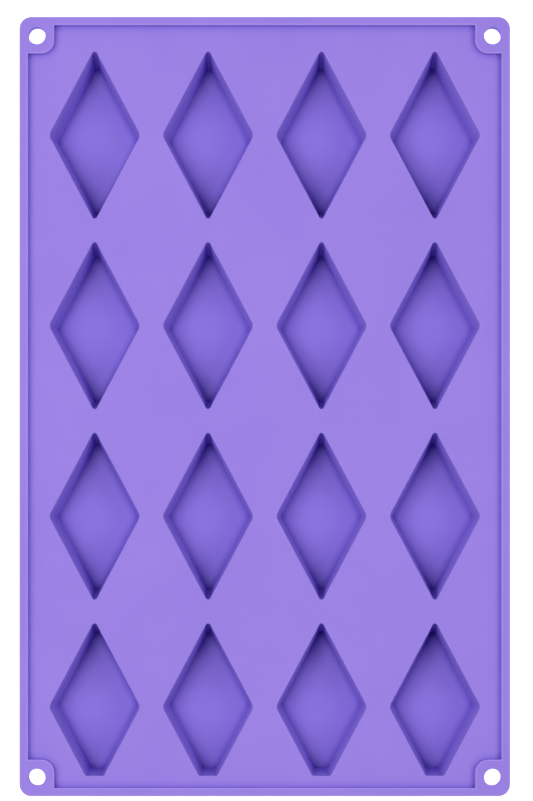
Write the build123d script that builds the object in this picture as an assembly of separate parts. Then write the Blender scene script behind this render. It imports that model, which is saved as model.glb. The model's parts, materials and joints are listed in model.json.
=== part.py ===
"""Silicone soap mould: a flat sheet with a raised rim, four corner eyelets and sixteen tapered cups.

The real mould is one flexible moulding. It is modelled here as the regions it works by: deck strips,
rim bars, eyelets, cup walls and cup floors. Regions of one row meet face to face and move as one body.
The sheet bends up along three lines, one between each two rows, and each cup floor can be pushed up.

Frame: millimetres, +Z out of the cup mouths, +Y towards row 1, +X towards column 4.
The origin is under the middle of the sheet, on the surface that the cups stand on.
"""

import math
import os

from build123d import *

# Sheet
SHEET_WIDTH = 187.0
SHEET_LENGTH = 297.0
SHEET_CORNER_RADIUS = 4.5
DECK_THICKNESS = 2.0

# Raised rim round the deck
RIM_WIDTH_SIDE = 3.2
RIM_WIDTH_END = 3.1
RIM_RISE = 2.0

# Corner eyelets, measured from the two sheet edges that meet at the corner
EYELET_WIDTH = 13.2
EYELET_LENGTH = 13.9
EYELET_INNER_RADIUS = 4.8
EYELET_HOLE_DIAMETER = 6.5
EYELET_HOLE_FROM_SIDE = 6.7
EYELET_HOLE_FROM_END = 7.2

# Grid of cups: row 1 is at +Y, column 1 at -X
ROWS = 4
COLUMNS = 4
ROW_PITCH = 72.75
COLUMN_PITCH = 43.3
GRID_CENTRE_Y = -5.4

# Cavity, as the outline of its mouth where the walls meet the top of the deck
CAVITY_HALF_WIDTH = 17.5
CAVITY_HALF_LENGTH = 33.0
CAVITY_DEPTH = 18.0
TIP_RADIUS = 1.0
SIDE_RADIUS_AT_MOUTH = 3.0
SIDE_RADIUS_AT_FLOOR = 1.2
WALL_INSET_AT_FLOOR = 1.75
CUT_TIP_FROM_CENTRE = 26.4
CUP_WALL = 1.8
FLOOR_THICKNESS = 2.0
FLOOR_CLEARANCE = 0.12

# Bending of the sheet between two rows, from flat to this far up
FLEX_LIMIT_DEG = 60.0
FLEX_LINE_GAP = 0.1
FLEX_SPARE_DEG = 0.6

# Levels
DECK_TOP = FLOOR_THICKNESS + CAVITY_DEPTH
DECK_UNDERSIDE = DECK_TOP - DECK_THICKNESS
RIM_TOP = DECK_TOP + RIM_RISE
RIM_HEIGHT = RIM_TOP - DECK_UNDERSIDE
FLEX_AXIS_Z = (DECK_UNDERSIDE + RIM_TOP) / 2

# Cutting tools reach this far past the faces they cut
REACH = 1.0


def row_y(row):
    """Y of the middle of a row's cavities; row counts from 1 at the +Y end."""
    return GRID_CENTRE_Y + ((ROWS + 1) / 2 - row) * ROW_PITCH


def column_x(column):
    """X of the middle of a column's cavities; column counts from 1 at the -X side."""
    return (column - (COLUMNS + 1) / 2) * COLUMN_PITCH


def flex_line_y(row):
    """Y of the line between a row and the next one, where the sheet flexes."""
    return (row_y(row) + row_y(row + 1)) / 2


def has_cut_tip(row):
    """The cavities of the last row end in a short flat instead of a point, to clear the rim."""
    return row == ROWS


def wall_inset(z):
    """How far the inner face of a cavity wall stands inside its mouth outline, at height z."""
    return WALL_INSET_AT_FLOOR * (DECK_TOP - z) / CAVITY_DEPTH


def side_radius(z):
    """Inner radius of a cavity's two blunt side corners at height z."""
    share = (DECK_TOP - z) / CAVITY_DEPTH
    return SIDE_RADIUS_AT_MOUTH + (SIDE_RADIUS_AT_FLOOR - SIDE_RADIUS_AT_MOUTH) * share


def cavity_outline(row, z, outward=0.0):
    """Rounded outline of a cavity at height z, with every side moved outward, centred on the origin."""
    inset = wall_inset(z) - outward
    side = math.hypot(CAVITY_HALF_WIDTH, CAVITY_HALF_LENGTH)
    half_width = CAVITY_HALF_WIDTH - inset * side / CAVITY_HALF_LENGTH
    half_length = CAVITY_HALF_LENGTH - inset * side / CAVITY_HALF_WIDTH
    if has_cut_tip(row):
        flat_y = CUT_TIP_FROM_CENTRE - inset
        half_flat = half_width * (1 - flat_y / half_length)
        near_end = [(half_flat, -flat_y), (-half_flat, -flat_y)]
    else:
        near_end = [(0, -half_length)]
    corners = [(0, half_length), (half_width, 0), *near_end, (-half_width, 0)]
    outline = Polygon(*corners, align=None)
    by_x = outline.vertices().sort_by(Axis.X)
    outline = fillet([by_x[0], by_x[-1]], side_radius(z) + outward)
    tips = [vertex for vertex in outline.vertices() if abs(vertex.Y) > half_length / 2]
    return Pos(0, 0, z) * fillet(tips, TIP_RADIUS + outward)


def tapered_solid(row, z_low, z_high, outward=0.0):
    """Solid inside a cavity outline from z_low to z_high, following the draft of the walls."""
    sections = [cavity_outline(row, z, outward) for z in (z_low, z_high)]
    return loft(sections, ruled=True)


def cup_wall(row):
    """The wall ring of one cup, from the surface it stands on up to the underside of the deck."""
    outside = tapered_solid(row, 0, DECK_UNDERSIDE, CUP_WALL)
    cavity = tapered_solid(row, -REACH, DECK_UNDERSIDE + REACH)
    return outside - cavity


def cup_floor(row):
    """The floor of one cup: a plate that fills the bottom of the wall ring and can be pushed up."""
    return tapered_solid(row, 0, FLOOR_THICKNESS, -FLOOR_CLEARANCE)


def slab(width, length, z_low, z_high, x=0.0, y=0.0):
    """Rectangular block with its middle at x, y."""
    block = Box(width, length, z_high - z_low, align=(Align.CENTER, Align.CENTER, Align.MIN))
    return Pos(x, y, z_low) * block


def row_region(row):
    """The stretch of the sheet that belongs to a row, bevelled above the lines where the sheet bends up."""
    slope = math.tan(math.radians(FLEX_LIMIT_DEG / 2 + FLEX_SPARE_DEG))
    z_high = RIM_TOP + REACH
    z_low = DECK_UNDERSIDE - REACH
    bevel = slope * (z_high - FLEX_AXIS_Z)
    end_y = SHEET_LENGTH / 2 + REACH
    if row == 1:
        far = [(end_y, z_low), (end_y, z_high)]
    else:
        far_y = flex_line_y(row - 1) - FLEX_LINE_GAP / 2
        far = [(far_y, z_low), (far_y, FLEX_AXIS_Z), (far_y - bevel, z_high)]
    if row == ROWS:
        near = [(-end_y, z_high), (-end_y, z_low)]
    else:
        near_y = flex_line_y(row) + FLEX_LINE_GAP / 2
        near = [(near_y + bevel, z_high), (near_y, FLEX_AXIS_Z), (near_y, z_low)]
    profile = make_face(Polyline(*far, *near, close=True))
    return extrude(Plane.YZ * profile, amount=SHEET_WIDTH / 2 + REACH, both=True)


def eyelet_outline():
    """Outline of an eyelet at the +X +Y corner, with its sheet corner on the origin."""
    pad = Rectangle(EYELET_WIDTH, EYELET_LENGTH, align=(Align.MAX, Align.MAX))
    by_corner = pad.vertices().sort_by(lambda v: v.X + v.Y)
    pad = fillet(by_corner[-1], SHEET_CORNER_RADIUS)
    inner_corner = pad.vertices().sort_by(lambda v: v.X + v.Y)[0]
    return fillet(inner_corner, EYELET_INNER_RADIUS)


def at_corner(shape, side_x, side_y):
    """Moves a shape made for the +X +Y corner to the corner on the given sides, +1 or -1."""
    placed = Pos(SHEET_WIDTH / 2, SHEET_LENGTH / 2, 0) * shape
    if side_x < 0:
        placed = mirror(placed, about=Plane.YZ)
    if side_y < 0:
        placed = mirror(placed, about=Plane.XZ)
    return placed


def eyelet(side_x, side_y):
    """A corner eyelet: a pad as thick as the rim, with a hole to hang or pin the mould by."""
    pad = extrude(Pos(0, 0, DECK_UNDERSIDE) * eyelet_outline(), amount=RIM_HEIGHT)
    drill = Cylinder(EYELET_HOLE_DIAMETER / 2, 2 * RIM_HEIGHT)
    hole = Pos(-EYELET_HOLE_FROM_SIDE, -EYELET_HOLE_FROM_END, FLEX_AXIS_Z) * drill
    return at_corner(pad - hole, side_x, side_y)


def eyelet_seat(side_x, side_y):
    """The corner of the deck that an eyelet takes up."""
    pad = Pos(0, 0, DECK_UNDERSIDE - REACH) * eyelet_outline()
    return at_corner(extrude(pad, amount=RIM_HEIGHT), side_x, side_y)


def deck_row(row):
    """The deck of one row: a strip between the rim bars, with four cavity mouths through it."""
    width = SHEET_WIDTH - 2 * RIM_WIDTH_SIDE
    length = SHEET_LENGTH - 2 * RIM_WIDTH_END
    strip = slab(width, length, DECK_UNDERSIDE, DECK_TOP) & row_region(row)
    mouth = tapered_solid(row, DECK_UNDERSIDE - REACH, DECK_TOP + REACH)
    for column in range(1, COLUMNS + 1):
        strip -= Pos(column_x(column), row_y(row), 0) * mouth
    if row in (1, ROWS):
        side_y = 1 if row == 1 else -1
        for side_x in (-1, 1):
            strip -= eyelet_seat(side_x, side_y)
    return strip


def side_rim(row, side_x):
    """One row's stretch of the rim along a long side of the sheet."""
    x = side_x * (SHEET_WIDTH - RIM_WIDTH_SIDE) / 2
    length = SHEET_LENGTH - 2 * EYELET_LENGTH
    return slab(RIM_WIDTH_SIDE, length, DECK_UNDERSIDE, RIM_TOP, x=x) & row_region(row)


def end_rim(side_y):
    """The rim along a short side of the sheet, between two eyelets."""
    y = side_y * (SHEET_LENGTH - RIM_WIDTH_END) / 2
    width = SHEET_WIDTH - 2 * EYELET_WIDTH
    return slab(width, RIM_WIDTH_END, DECK_UNDERSIDE, RIM_TOP, y=y)


def all_nodes():
    """Every sub-part by its node name."""
    nodes = {"rim_back": end_rim(1), "rim_front": end_rim(-1)}
    for end, side_y in (("back", 1), ("front", -1)):
        for side, side_x in (("left", -1), ("right", 1)):
            nodes[f"eyelet_{end}_{side}"] = eyelet(side_x, side_y)
    for row in range(1, ROWS + 1):
        nodes[f"deck_row_{row}"] = deck_row(row)
        nodes[f"rim_left_row_{row}"] = side_rim(row, -1)
        nodes[f"rim_right_row_{row}"] = side_rim(row, 1)
        wall = cup_wall(row)
        floor = cup_floor(row)
        for column in range(1, COLUMNS + 1):
            place = Pos(column_x(column), row_y(row), 0)
            nodes[f"cup_r{row}c{column}"] = place * wall
            nodes[f"cup_floor_r{row}c{column}"] = place * floor
    return nodes


def main():
    os.makedirs("parts", exist_ok=True)
    for name, shape in all_nodes().items():
        export_step(shape, f"parts/{name}.step")


if __name__ == "__main__":
    main()
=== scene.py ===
"""Looks of the silicone soap mould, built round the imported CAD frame.

The real mould is one seamless moulding. It is made here as four row plates, three webs that bend between
them, and sixteen cups that hang below the plates and whose floors push up. Neighbouring pieces share their
edge loops, so no seam shows at rest or bent.

All lengths are in metres, in the frame of the CAD model: +Z out of the cavities, row 1 at the +Y end.
"""

import math

import bmesh
import bpy
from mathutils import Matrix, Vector
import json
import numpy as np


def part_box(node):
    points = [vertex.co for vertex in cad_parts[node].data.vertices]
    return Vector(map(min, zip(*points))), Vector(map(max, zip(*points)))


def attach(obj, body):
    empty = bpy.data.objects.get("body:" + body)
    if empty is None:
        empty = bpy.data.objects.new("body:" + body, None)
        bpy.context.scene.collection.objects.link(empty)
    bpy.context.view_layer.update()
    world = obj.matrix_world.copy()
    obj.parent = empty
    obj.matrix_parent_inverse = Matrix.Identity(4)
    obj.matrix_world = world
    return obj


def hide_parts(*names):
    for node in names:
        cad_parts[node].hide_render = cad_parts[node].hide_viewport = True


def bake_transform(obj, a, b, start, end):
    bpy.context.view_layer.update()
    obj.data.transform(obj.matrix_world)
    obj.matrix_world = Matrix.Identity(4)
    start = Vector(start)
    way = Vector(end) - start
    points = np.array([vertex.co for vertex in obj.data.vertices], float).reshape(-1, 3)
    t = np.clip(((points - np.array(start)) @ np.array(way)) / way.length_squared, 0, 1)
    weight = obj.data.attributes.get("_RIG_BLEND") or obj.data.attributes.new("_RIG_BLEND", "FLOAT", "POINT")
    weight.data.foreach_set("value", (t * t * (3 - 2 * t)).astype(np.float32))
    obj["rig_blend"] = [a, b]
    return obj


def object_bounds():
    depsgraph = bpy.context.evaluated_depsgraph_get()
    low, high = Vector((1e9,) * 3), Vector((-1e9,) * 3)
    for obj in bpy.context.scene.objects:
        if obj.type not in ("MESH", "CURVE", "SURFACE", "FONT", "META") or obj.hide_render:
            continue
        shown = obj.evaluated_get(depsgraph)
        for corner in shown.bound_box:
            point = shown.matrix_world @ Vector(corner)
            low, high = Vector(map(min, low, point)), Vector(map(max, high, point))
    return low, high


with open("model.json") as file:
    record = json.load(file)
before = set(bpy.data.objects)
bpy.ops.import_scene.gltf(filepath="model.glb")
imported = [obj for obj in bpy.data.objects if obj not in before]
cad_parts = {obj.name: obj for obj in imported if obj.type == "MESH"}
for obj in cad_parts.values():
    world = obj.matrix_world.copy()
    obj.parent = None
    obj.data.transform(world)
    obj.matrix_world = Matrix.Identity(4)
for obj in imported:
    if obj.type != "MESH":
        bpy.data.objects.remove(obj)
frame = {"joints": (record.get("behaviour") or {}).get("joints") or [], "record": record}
CAD_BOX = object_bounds()

MM = 0.001

# ---------------------------------------------------------------- sizes read from the frame
ROWS = range(1, 5)
COLUMNS = range(1, 5)
MIDDLE_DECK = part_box("deck_row_2")
SIDE_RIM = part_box("rim_right_row_2")
END_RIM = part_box("rim_back")
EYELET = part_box("eyelet_back_right")
FIRST_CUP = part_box("cup_r1c1")

SHEET_HALF_WIDTH = CAD_BOX[1].x
SHEET_HALF_LENGTH = CAD_BOX[1].y
RIM_TOP = CAD_BOX[1].z
DECK_TOP = MIDDLE_DECK[1].z
DECK_UNDERSIDE = MIDDLE_DECK[0].z
FLOOR_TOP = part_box("cup_floor_r1c1")[1].z
CUP_BOTTOM = CAD_BOX[0].z
RECESS_HALF_WIDTH = SIDE_RIM[0].x
RECESS_HALF_LENGTH = END_RIM[0].y
EYELET_INNER_X = EYELET[0].x
EYELET_INNER_Y = EYELET[0].y
CUP_HALF_LENGTH = (FIRST_CUP[1].y - FIRST_CUP[0].y) / 2
CAVITY_X = {column: sum(corner.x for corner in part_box(f"cup_r1c{column}")) / 2 for column in COLUMNS}
CAVITY_Y = {row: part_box(f"cup_r{row}c1")[1].y - CUP_HALF_LENGTH for row in ROWS}
FLEX_LINES = [joint["pos_m"][1] for joint in frame["joints"] if joint["type"] == "hinge"]
HOLES = [mount for mount in frame["record"]["mounts"] if mount["kind"] == "bore"]

# ---------------------------------------------------------------- shape of the moulding
SHEET_CORNER_RADIUS = 4.5 * MM
EYELET_CORNER_RADIUS = 4.8 * MM
NOTCH_CORNER_RADIUS = 0.35 * MM

CAVITY_HALF_WIDTH = 17.5 * MM
CAVITY_HALF_LENGTH = 33.0 * MM
CUT_TIP_FROM_CENTRE = 26.4 * MM
TIP_RADIUS = 1.0 * MM
SIDE_RADIUS_AT_MOUTH = 3.0 * MM
SIDE_RADIUS_AT_FLOOR = 1.2 * MM
WALL_INSET_AT_FLOOR = 1.75 * MM
CUP_WALL = 1.8 * MM

# Rounded edges, and how far past each one the flat face beside it keeps an extra loop
RIM_EDGE_RADIUS = 0.3 * MM
STEP_LEAN = 0.35 * MM
STEP_FOOT_RADIUS = 0.2 * MM
OUTER_EDGE_RADIUS = 0.5 * MM
UNDER_EDGE_RADIUS = 0.4 * MM
HOLE_EDGE_RADIUS = 0.15 * MM
MOUTH_EDGE_RADIUS = 0.2 * MM
FLOOR_EDGE_RADIUS = 0.25 * MM
BOTTOM_EDGE_RADIUS = 1.0 * MM
CUP_ROOT_RADIUS = 0.8 * MM
SUPPORT = 0.3 * MM
SMALLEST_RADIUS = 0.05 * MM

# Points nearer to each other than this count as one
TINY = 0.0001 * MM

# Half the length of sheet that bends at each line between two rows, and the loops across it
WEB_HALF_LENGTH = 2.1 * MM
WEB_STEPS = 14

# Fineness of the meshes
CORNER_STEPS = 8
EDGE_STEPS = 5
ROUND_STEPS = 96
WALL_LOOP_SPACING = 1.1 * MM
SHARP_ANGLE = math.radians(40)

# The four corners of a rectangle round the origin, anticlockwise
CORNER_SIGNS = ((1, 1), (-1, 1), (-1, -1), (1, -1))

# The vertex attribute that says how much painted highlight each rounded edge carries, from 0 to 1
PAINTED_HIGHLIGHT = "edge_paleness"
RIM_HIGHLIGHT = 1.0
MOUTH_HIGHLIGHT = 0.15
OUTER_HIGHLIGHT = 0.3

# ---------------------------------------------------------------- looks
# Linear colours: the two ends of the silicone's clouding, the painted shade in its narrow inner corners and
# the painted highlight on its rounded edges
PIGMENT_LOW = (0.320, 0.216, 0.768, 1)
PIGMENT_HIGH = (0.340, 0.232, 0.792, 1)
# Painted shade colour for narrow inner corners
PAINTED_SHADE_COLOUR = (0.060, 0.016, 0.430, 1)
# Painted highlight colour for rounded edges, and the largest share of it that is mixed in
PAINTED_HIGHLIGHT_COLOUR = (0.470, 0.360, 0.900, 1)
PAINTED_HIGHLIGHT_SHARE = 0.6

# Painted shade: inner corners narrower than about this are darkened towards a deep violet
PAINTED_SHADE_REACH = 3.0 * MM

SILICONE_IOR = 1.41
SILICONE_SPECULAR = 0.1
SWELL_HEIGHT = 0.05 * MM
GRAIN_HEIGHT = 0.01 * MM

# The backdrop, how far under the cups it lies, and its glow near the object and far away
STAGE_CENTRE_RADIUS = 0.3
STAGE_RADIUS = 5.0
STAGE_COVE_RADIUS = 1.2
STAGE_WALL_HEIGHT = 1.9
STAGE_SPACING = 0.3
STAGE_GAP = 0.2 * MM
STAGE_COLOUR = (0.85, 0.85, 0.85, 1)
STAGE_GLOW_NEAR = 0.75
STAGE_GLOW_FAR = 0.55
STAGE_NEAR = 0.4
STAGE_FAR = 4.0

WHITE = (1, 1, 1, 1)
WORLD_STRENGTH = 0.04

# Softboxes, which all face the origin: place, width of the square and watts
SOFTBOXES = {
    "softbox_left": ((-0.85, 0.0, 1.1), 0.8, 5.1),
    "softbox_right": ((0.85, 0.0, 1.1), 0.8, 6.8),
    "softbox_back": ((0.0, 0.85, 1.1), 0.8, 0.9),
    "softbox_overhead": ((-0.35, 0.0, 1.25), 0.5, 6.3),
}

# The camera: the point of the sheet it stands over, its height above the deck, and the stretch of sheet
# that fills the longer side of the picture
CAMERA_STAND = Vector((5.5, -57.7, 0)) * MM
CAMERA_HEIGHT = 1.0
VIEW_LENGTH = 305.7 * MM
VIEW_CENTRE = Vector((0.65, 2.4, 0)) * MM
SENSOR_WIDTH = 36.0


# ---------------------------------------------------------------- outlines and profiles
def corner_arc(before, here, after, radius, steps):
    """Points of the arc that rounds the corner at here, between the points before and after it."""
    arriving = (here - before).normalized()
    leaving = (after - here).normalized()
    turn = math.atan2(arriving.x * leaving.y - arriving.y * leaving.x, arriving.dot(leaving))
    reach = radius * abs(math.tan(turn / 2))
    side = math.copysign(1.0, turn)
    centre = here - arriving * reach + side * radius * Vector((-arriving.y, arriving.x))
    spoke = here - arriving * reach - centre
    points = []
    for step in range(steps + 1):
        angle = turn * step / steps
        cosine, sine = math.cos(angle), math.sin(angle)
        turned = Vector((spoke.x * cosine - spoke.y * sine, spoke.x * sine + spoke.y * cosine))
        points.append(centre + turned)
    return points


def outline(corners, offset=0.0):
    """Closed outline through rounded corners, anticlockwise, with every side moved outward by offset.

    Each corner is (x, y, radius at offset 0). Every offset gives as many points, so loops can be bridged.
    """
    count = len(corners)
    moved = []
    for index, (x, y, radius) in enumerate(corners):
        here = Vector((x, y))
        arriving = (here - Vector(corners[index - 1][:2])).normalized()
        leaving = (Vector(corners[(index + 1) % count][:2]) - here).normalized()
        outward = Vector((arriving.y + leaving.y, -arriving.x - leaving.x))
        turns_left = arriving.x * leaving.y - arriving.y * leaving.x > 0
        grown = radius + offset if turns_left else radius - offset
        moved.append((here + outward * offset / (1 + arriving.dot(leaving)), max(grown, SMALLEST_RADIUS)))
    points = []
    for index, (here, radius) in enumerate(moved):
        before = moved[index - 1][0]
        after = moved[(index + 1) % count][0]
        points += corner_arc(before, here, after, radius, CORNER_STEPS)
    return points


def profile(stations, spacing):
    """Open profile with rounded corners. Each of its points is (offset, height, highlight).

    Each station is (offset, height, radius, highlight), where highlight is the share of painted highlight on
    its rounded corner; the two end ones are (offset, height).
    Points along the straight runs are no further apart than spacing.
    """
    places = [Vector(station[:2]) for station in stations]
    points = [(*places[0], 0.0)]
    last = places[0]
    for index in range(1, len(stations) - 1):
        radius, highlight = stations[index][2:]
        arc = corner_arc(places[index - 1], places[index], places[index + 1], radius, EDGE_STEPS)
        points += straight_run(last, arc[0], spacing)
        points += [(*point, highlight) for point in arc]
        last = arc[-1]
    if (places[-1] - last).length > TINY:
        points += straight_run(last, places[-1], spacing)
        points.append((*places[-1], 0.0))
    return points


def straight_run(start, end, spacing):
    """Profile points strictly between start and end, no further apart than spacing."""
    pieces = max(1, math.ceil((end - start).length / spacing))
    return [(*start.lerp(end, step / pieces), 0.0) for step in range(1, pieces)]


def rectangle(half_width, half_length, radius):
    """Corners of a rectangle round the origin, anticlockwise."""
    return [(sx * half_width, sy * half_length, radius) for sx, sy in CORNER_SIGNS]


def recess_corners():
    """Corners of the recessed deck's outline: a rectangle with a notch round each eyelet."""
    corners = []
    for sx, sy in CORNER_SIGNS:
        notch = [
            (sx * RECESS_HALF_WIDTH, sy * EYELET_INNER_Y, NOTCH_CORNER_RADIUS),
            (sx * EYELET_INNER_X, sy * EYELET_INNER_Y, EYELET_CORNER_RADIUS),
            (sx * EYELET_INNER_X, sy * RECESS_HALF_LENGTH, NOTCH_CORNER_RADIUS),
        ]
        corners += notch if sx * sy > 0 else reversed(notch)
    return corners


def wall_inset(height):
    """How far a cavity's wall stands inside the outline of its mouth, at a height."""
    return WALL_INSET_AT_FLOOR * (DECK_TOP - height) / (DECK_TOP - FLOOR_TOP)


def cavity_corners(row, column, height):
    """Corners of a cavity's mouth, with the radii that its walls have at a height once offset to there."""
    x = CAVITY_X[column]
    y = CAVITY_Y[row]
    share = (DECK_TOP - height) / (DECK_TOP - FLOOR_TOP)
    inset = wall_inset(height)
    side_radius = SIDE_RADIUS_AT_MOUTH + (SIDE_RADIUS_AT_FLOOR - SIDE_RADIUS_AT_MOUTH) * share + inset
    tip_radius = TIP_RADIUS + inset
    tips = [(x, y - CAVITY_HALF_LENGTH, tip_radius)]
    if row == ROWS[-1]:
        flat_half = CAVITY_HALF_WIDTH * (1 - CUT_TIP_FROM_CENTRE / CAVITY_HALF_LENGTH)
        flat_y = y - CUT_TIP_FROM_CENTRE
        tips = [(x - flat_half, flat_y, tip_radius), (x + flat_half, flat_y, tip_radius)]
    right = (x + CAVITY_HALF_WIDTH, y, side_radius)
    left = (x - CAVITY_HALF_WIDTH, y, side_radius)
    return [right, (x, y + CAVITY_HALF_LENGTH, tip_radius), left] + tips


# ---------------------------------------------------------------- loops and skins
def new_mesh():
    """An empty mesh whose vertices can each say how much painted highlight they carry."""
    mesh = bmesh.new()
    mesh.verts.layers.float.new(PAINTED_HIGHLIGHT)
    return mesh


def add_loop(mesh, points, height, highlight):
    """A loop of vertices through points at one height."""
    layer = mesh.verts.layers.float[PAINTED_HIGHLIGHT]
    loop = []
    for point in points:
        vertex = mesh.verts.new((point.x, point.y, height))
        vertex[layer] = highlight
        loop.append(vertex)
    return loop


def add_skin(mesh, stations, corners_at):
    """Skin swept round an outline: one loop of vertices at each point of a profile."""
    loops = []
    for offset, height, highlight in stations:
        loops.append(add_loop(mesh, outline(corners_at(height), offset), height, highlight))
    bridge(mesh, loops)
    return loops


def add_round_skin(mesh, centre, radius, stations):
    """Skin swept round a circle: one loop of vertices at each point of a profile."""
    loops = []
    for offset, height, highlight in stations:
        points = []
        for step in range(ROUND_STEPS):
            angle = 2 * math.pi * step / ROUND_STEPS
            points.append(centre + (radius + offset) * Vector((math.cos(angle), math.sin(angle))))
        loops.append(add_loop(mesh, points, height, highlight))
    bridge(mesh, loops)
    return loops


def bridge(mesh, loops):
    """Quads between each two neighbouring loops."""
    for one, other in zip(loops, loops[1:]):
        for index in range(len(one)):
            after = (index + 1) % len(one)
            mesh.faces.new((one[index], one[after], other[after], other[index]))


def loop_edges(mesh, loop):
    """The edges between the vertices of a loop."""
    return [mesh.edges.get((loop[index - 1], loop[index])) for index in range(len(loop))]


def fill_flat(mesh, outer, holes):
    """Flat faces inside an outer loop, round the loops of its holes."""
    edges = loop_edges(mesh, outer)
    for hole in holes:
        edges += loop_edges(mesh, hole)
    bmesh.ops.triangle_fill(mesh, use_beauty=True, edges=edges, normal=(0, 0, 1))


def make_object(mesh, name, material):
    """Turns a bmesh into a smooth-shaded object."""
    data = bpy.data.meshes.new(name)
    mesh.to_mesh(data)
    mesh.free()
    data.polygons.foreach_set("use_smooth", [True] * len(data.polygons))
    data.materials.append(material)
    made = bpy.data.objects.new(name, data)
    bpy.context.scene.collection.objects.link(made)
    return made


def make_piece(mesh, name):
    """Turns a closed bmesh into a piece of the moulding."""
    bmesh.ops.recalc_face_normals(mesh, faces=mesh.faces)
    piece = make_object(mesh, name, SILICONE)
    piece.data.set_sharp_from_angle(angle=SHARP_ANGLE)
    return piece


# ---------------------------------------------------------------- the sheet
def outer_profile():
    """The sheet's outer edge, from the top of the rim round to the underside."""
    top = -(OUTER_EDGE_RADIUS + SUPPORT)
    under = -(UNDER_EDGE_RADIUS + SUPPORT)
    return profile([
        (top, RIM_TOP),
        (0, RIM_TOP, OUTER_EDGE_RADIUS, OUTER_HIGHLIGHT),
        (0, DECK_UNDERSIDE, UNDER_EDGE_RADIUS, OUTER_HIGHLIGHT),
        (under, DECK_UNDERSIDE),
    ], SUPPORT)


def step_profile():
    """The step from the rim and the eyelets down to the deck."""
    return profile([
        (RIM_EDGE_RADIUS + SUPPORT, RIM_TOP),
        (0, RIM_TOP, RIM_EDGE_RADIUS, RIM_HIGHLIGHT),
        (-STEP_LEAN, DECK_TOP, STEP_FOOT_RADIUS, 0.0),
        (-(STEP_LEAN + STEP_FOOT_RADIUS + SUPPORT), DECK_TOP),
    ], SUPPORT)


def hole_profile():
    """An eyelet's hole, from the top of the rim down to the underside."""
    return profile([
        (HOLE_EDGE_RADIUS + SUPPORT, RIM_TOP),
        (0, RIM_TOP, HOLE_EDGE_RADIUS, MOUTH_HIGHLIGHT),
        (0, DECK_UNDERSIDE, HOLE_EDGE_RADIUS, MOUTH_HIGHLIGHT),
        (HOLE_EDGE_RADIUS + SUPPORT, DECK_UNDERSIDE),
    ], SUPPORT)


def mouth_profile():
    """A cavity's mouth, from the deck over its rounded edge and down the wall to the deck's underside."""
    return profile([
        (MOUTH_EDGE_RADIUS + SUPPORT, DECK_TOP),
        (0, DECK_TOP, MOUTH_EDGE_RADIUS, MOUTH_HIGHLIGHT),
        (-wall_inset(DECK_UNDERSIDE), DECK_UNDERSIDE),
    ], SUPPORT)


def add_hole(mesh, mount):
    """The skin of an eyelet's hole."""
    centre = Vector(mount["pos_m"][:2])
    return add_round_skin(mesh, centre, mount["dims"]["r_mm"] * MM, hole_profile())


def build_sheet():
    """The whole sheet as one closed mesh: rim, eyelets, deck and the mouths of the cavities."""
    mesh = new_mesh()
    outside = rectangle(SHEET_HALF_WIDTH, SHEET_HALF_LENGTH, SHEET_CORNER_RADIUS)
    edge = add_skin(mesh, outer_profile(), lambda height: outside)
    recess = recess_corners()
    step = add_skin(mesh, step_profile(), lambda height: recess)
    holes = [add_hole(mesh, mount) for mount in HOLES]
    mouths = []
    for row in ROWS:
        for column in COLUMNS:
            mouth = add_skin(mesh, mouth_profile(), lambda height: cavity_corners(row, column, height))
            mouths.append(mouth)
    fill_flat(mesh, edge[0], [step[0]] + [loops[0] for loops in holes])
    fill_flat(mesh, step[-1], [loops[0] for loops in mouths])
    fill_flat(mesh, edge[-1], [loops[-1] for loops in holes + mouths])
    return mesh


def cut_across(mesh, y, side, clear_beyond):
    """Cuts the mesh with the plane at y, and can remove what lies beyond it on a side, +1 or -1."""
    everything = mesh.verts[:] + mesh.edges[:] + mesh.faces[:]
    bmesh.ops.bisect_plane(
        mesh,
        geom=everything,
        plane_co=(0, y, 0),
        plane_no=(0, side, 0),
        clear_outer=clear_beyond,
        dist=TINY,
    )


def cut_away(mesh, y, side):
    """Removes what lies beyond y on a side, +1 or -1, and closes the cut with one face."""
    cut_across(mesh, y, side, True)
    open_edges = [one for one in mesh.edges if one.is_boundary]
    bmesh.ops.holes_fill(mesh, edges=open_edges, sides=0)


def add_cross_loops(mesh, y_low, y_high, steps):
    """Cuts loops of vertices across a strip, so that it can bend."""
    for step in range(1, steps):
        cut_across(mesh, y_low + (y_high - y_low) * step / steps, 1, False)


def make_row_plate(sheet, row):
    """A row's stretch of the sheet. It replaces the row's deck and rim, and on the end rows the eyelets."""
    mesh = sheet.copy()
    nodes = [f"deck_row_{row}", f"rim_left_row_{row}", f"rim_right_row_{row}"]
    if row == ROWS[0]:
        nodes += ["rim_back", "eyelet_back_left", "eyelet_back_right"]
    else:
        cut_away(mesh, FLEX_LINES[row - 2] - WEB_HALF_LENGTH, 1)
    if row == ROWS[-1]:
        nodes += ["rim_front", "eyelet_front_left", "eyelet_front_right"]
    else:
        cut_away(mesh, FLEX_LINES[row - 1] + WEB_HALF_LENGTH, -1)
    plate = make_piece(mesh, f"plate_row_{row}")
    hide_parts(*nodes)
    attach(plate, f"row_{row}")


def make_web(sheet, row):
    """The strip of sheet that bends between a row and the next one."""
    mesh = sheet.copy()
    far = FLEX_LINES[row - 1] + WEB_HALF_LENGTH
    near = FLEX_LINES[row - 1] - WEB_HALF_LENGTH
    cut_away(mesh, far, 1)
    cut_away(mesh, near, -1)
    add_cross_loops(mesh, near, far, WEB_STEPS)
    web = make_piece(mesh, f"web_{row}_{row + 1}")
    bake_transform(web, f"row_{row}", f"row_{row + 1}", start=(0, far, DECK_TOP), end=(0, near, DECK_TOP))


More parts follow.
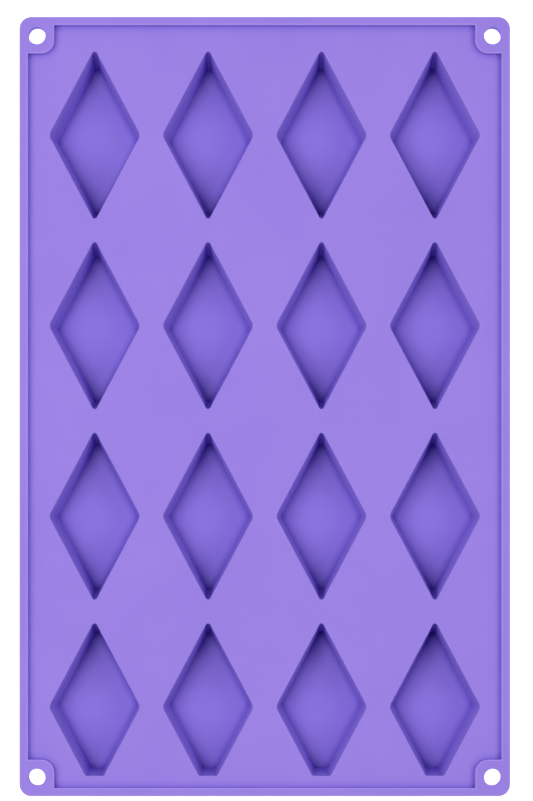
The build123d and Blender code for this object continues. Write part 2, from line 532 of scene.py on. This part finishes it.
# ---------------------------------------------------------------- the cups
def cup_outside_profile():
    """From the flat bottom round its edge, up the wall and out to the deck's underside."""
    foot = CUP_WALL - wall_inset(CUP_BOTTOM)
    root = CUP_WALL - wall_inset(DECK_UNDERSIDE)
    draft = math.atan(WALL_INSET_AT_FLOOR / (DECK_TOP - FLOOR_TOP))
    root_reach = CUP_ROOT_RADIUS * math.tan((math.pi / 2 - draft) / 2)
    return profile([
        (foot - BOTTOM_EDGE_RADIUS - SUPPORT, CUP_BOTTOM),
        (foot, CUP_BOTTOM, BOTTOM_EDGE_RADIUS, OUTER_HIGHLIGHT),
        (root, DECK_UNDERSIDE, CUP_ROOT_RADIUS, 0.0),
        (root + root_reach, DECK_UNDERSIDE),
    ], WALL_LOOP_SPACING)


def cup_inside_profile():
    """From the deck's underside down the wall and round to the floor."""
    floor = -wall_inset(FLOOR_TOP)
    return profile([
        (-wall_inset(DECK_UNDERSIDE), DECK_UNDERSIDE),
        (floor, FLOOR_TOP, FLOOR_EDGE_RADIUS, 0.0),
        (floor - FLOOR_EDGE_RADIUS - SUPPORT, FLOOR_TOP),
    ], WALL_LOOP_SPACING)


def make_cup(row, column):
    """One cup, open at the deck's underside. Its wall gives way as its floor is pushed up."""
    mesh = new_mesh()

    def corners_at(height):
        return cavity_corners(row, column, height)

    loops = add_skin(mesh, cup_outside_profile() + cup_inside_profile(), corners_at)
    mesh.faces.new(loops[0])
    mesh.faces.new(loops[-1])
    name = f"r{row}c{column}"
    cup = make_piece(mesh, f"cup_skin_{name}")
    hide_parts(f"cup_{name}", f"cup_floor_{name}")
    start = (CAVITY_X[column], CAVITY_Y[row], DECK_UNDERSIDE)
    end = (CAVITY_X[column], CAVITY_Y[row], FLOOR_TOP)
    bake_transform(cup, f"row_{row}", f"floor_{name}", start=start, end=end)


# ---------------------------------------------------------------- material
class Nodes:
    """Short way to add linked shader nodes to a material that starts empty."""

    def __init__(self, material):
        material.use_nodes = True
        self.tree = material.node_tree
        self.tree.nodes.clear()

    def feed(self, socket, value):
        """Links a socket to another node's output, or sets its value."""
        if isinstance(value, bpy.types.NodeSocket):
            self.tree.links.new(value, socket)
        else:
            socket.default_value = value

    def add(self, kind, inputs, **settings):
        """A node with its inputs fed by name, and its other settings."""
        node = self.tree.nodes.new(kind)
        for name, value in settings.items():
            setattr(node, name, value)
        for name, value in inputs.items():
            self.feed(node.inputs[name], value)
        return node

    def place(self):
        """Coordinates of a point on the object, in metres."""
        return self.add("ShaderNodeTexCoord", {}).outputs["Object"]

    def noise(self, scale, detail, roughness):
        """Smooth random values from 0 to 1 that change over about 1 / scale metres."""
        settings = {"Vector": self.place(), "Scale": scale, "Detail": detail, "Roughness": roughness}
        return self.add("ShaderNodeTexNoise", settings).outputs["Fac"]

    def map_range(self, value, **limits):
        """A value carried from one range to another, and clamped there."""
        inputs = {name.replace("_", " ").title(): limit for name, limit in limits.items()}
        return self.add("ShaderNodeMapRange", {"Value": value, **inputs}).outputs["Result"]

    def mix(self, share, first, second):
        """Colour that goes from the first to the second as the share goes from 0 to 1."""
        node = self.tree.nodes.new("ShaderNodeMix")
        node.data_type = "RGBA"
        sockets = {socket.identifier: socket for socket in node.inputs}
        for name, value in (("Factor_Float", share), ("A_Color", first), ("B_Color", second)):
            self.feed(sockets[name], value)
        return next(socket for socket in node.outputs if socket.identifier == "Result_Color")


def pigment_colour(nodes):
    """Slightly clouded violet."""
    ramp = nodes.add("ShaderNodeValToRGB", {"Fac": nodes.noise(28.0, 3.0, 0.55)})
    low, high = ramp.color_ramp.elements
    low.position = 0.3
    low.color = PIGMENT_LOW
    high.position = 0.7
    high.color = PIGMENT_HIGH
    return ramp.outputs["Color"]


def silicone_colour(nodes):
    """The pigment with painted shade in narrow inner corners and a painted highlight on rounded edges."""
    # Painted shade: ambient occlusion darkens the pigment where inner corners are narrow
    openness = nodes.add("ShaderNodeAmbientOcclusion", {"Distance": PAINTED_SHADE_REACH}, samples=4).outputs["AO"]
    open_share = nodes.map_range(openness, from_min=0.25, from_max=0.9)
    shaded_pigment = nodes.mix(open_share, PAINTED_SHADE_COLOUR, pigment_colour(nodes))
    # Painted highlight: the vertex attribute lightens rounded edges towards a pale violet
    highlight = nodes.add("ShaderNodeAttribute", {}, attribute_name=PAINTED_HIGHLIGHT).outputs["Fac"]
    return nodes.mix(nodes.map_range(highlight, to_max=PAINTED_HIGHLIGHT_SHARE), shaded_pigment, PAINTED_HIGHLIGHT_COLOUR)


def silicone_bumps(nodes):
    """A faint swell of the surface with a fine grain on it."""
    swell = nodes.add("ShaderNodeBump", {
        "Height": nodes.noise(55.0, 2.0, 0.5),
        "Distance": SWELL_HEIGHT,
        "Strength": 0.35,
    })
    grain = nodes.add("ShaderNodeBump", {
        "Height": nodes.noise(2600.0, 3.0, 0.6),
        "Distance": GRAIN_HEIGHT,
        "Strength": 0.25,
        "Normal": swell.outputs["Normal"],
    })
    return grain.outputs["Normal"]


def make_silicone():
    """Satin violet silicone."""
    material = bpy.data.materials.new("silicone")
    nodes = Nodes(material)
    shader = nodes.add("ShaderNodeBsdfPrincipled", {
        "Base Color": silicone_colour(nodes),
        "Roughness": nodes.map_range(nodes.noise(900.0, 4.0, 0.6), to_min=0.5, to_max=0.62),
        "IOR": SILICONE_IOR,
        "Specular IOR Level": SILICONE_SPECULAR,
        "Normal": silicone_bumps(nodes),
    })
    nodes.add("ShaderNodeOutputMaterial", {"Surface": shader.outputs["BSDF"]})
    return material


# ---------------------------------------------------------------- studio
def make_stage_material():
    """Plain pale backdrop that glows, a little more near the object, as a lit studio table does."""
    material = bpy.data.materials.new("stage_pale")
    nodes = Nodes(material)
    distance = nodes.add("ShaderNodeVectorMath", {0: nodes.place()}, operation="LENGTH").outputs["Value"]
    glow = nodes.map_range(
        distance, from_min=STAGE_NEAR, from_max=STAGE_FAR, to_min=STAGE_GLOW_NEAR, to_max=STAGE_GLOW_FAR
    )
    shader = nodes.add("ShaderNodeBsdfPrincipled", {
        "Base Color": STAGE_COLOUR,
        "Roughness": 0.9,
        "Emission Color": WHITE,
        "Emission Strength": glow,
    })
    nodes.add("ShaderNodeOutputMaterial", {"Surface": shader.outputs["BSDF"]})
    return material


def make_stage():
    """A round floor just under the cups, which curves up into a low backdrop."""
    mesh = new_mesh()
    height = CUP_BOTTOM - STAGE_GAP
    stations = profile([
        (STAGE_CENTRE_RADIUS, height),
        (STAGE_RADIUS, height, STAGE_COVE_RADIUS, 0.0),
        (STAGE_RADIUS, height + STAGE_WALL_HEIGHT),
    ], STAGE_SPACING)
    loops = add_round_skin(mesh, Vector((0, 0)), 0.0, stations)
    mesh.faces.new(reversed(loops[0]))
    make_object(mesh, "stage", make_stage_material())


def make_softbox(name, place, size, watts):
    """A square area light that faces the origin."""
    light = bpy.data.lights.new(name, "AREA")
    light.shape = "SQUARE"
    light.size = size
    light.energy = watts
    lamp = bpy.data.objects.new(name, light)
    lamp.location = place
    lamp.rotation_euler = (-Vector(place)).to_track_quat("-Z", "Y").to_euler()
    bpy.context.scene.collection.objects.link(lamp)


def make_lights():
    """A faint even world and the softboxes, shown with plain colours."""
    world = bpy.data.worlds.new("studio")
    world.use_nodes = True
    background = world.node_tree.nodes["Background"]
    background.inputs["Color"].default_value = WHITE
    background.inputs["Strength"].default_value = WORLD_STRENGTH
    bpy.context.scene.world = world
    for name, (place, size, watts) in SOFTBOXES.items():
        make_softbox(name, place, size, watts)
    bpy.context.scene.view_settings.view_transform = "Standard"


def make_camera():
    """Looks straight down. The lens shift frames the sheet, which isn't centred under the camera."""
    data = bpy.data.cameras.new("camera")
    data.sensor_width = SENSOR_WIDTH
    data.lens = SENSOR_WIDTH * CAMERA_HEIGHT / VIEW_LENGTH
    data.shift_x = (VIEW_CENTRE.x - CAMERA_STAND.x) / VIEW_LENGTH
    data.shift_y = (VIEW_CENTRE.y - CAMERA_STAND.y) / VIEW_LENGTH
    camera = bpy.data.objects.new("camera", data)
    camera.location = CAMERA_STAND + Vector((0, 0, DECK_TOP + CAMERA_HEIGHT))
    bpy.context.scene.collection.objects.link(camera)
    bpy.context.scene.camera = camera


SILICONE = make_silicone()
SHEET = build_sheet()
for ROW in ROWS:
    make_row_plate(SHEET, ROW)
for ROW in ROWS[:-1]:
    make_web(SHEET, ROW)
for ROW in ROWS:
    for COLUMN in COLUMNS:
        make_cup(ROW, COLUMN)
SHEET.free()
make_stage()
make_lights()
make_camera()
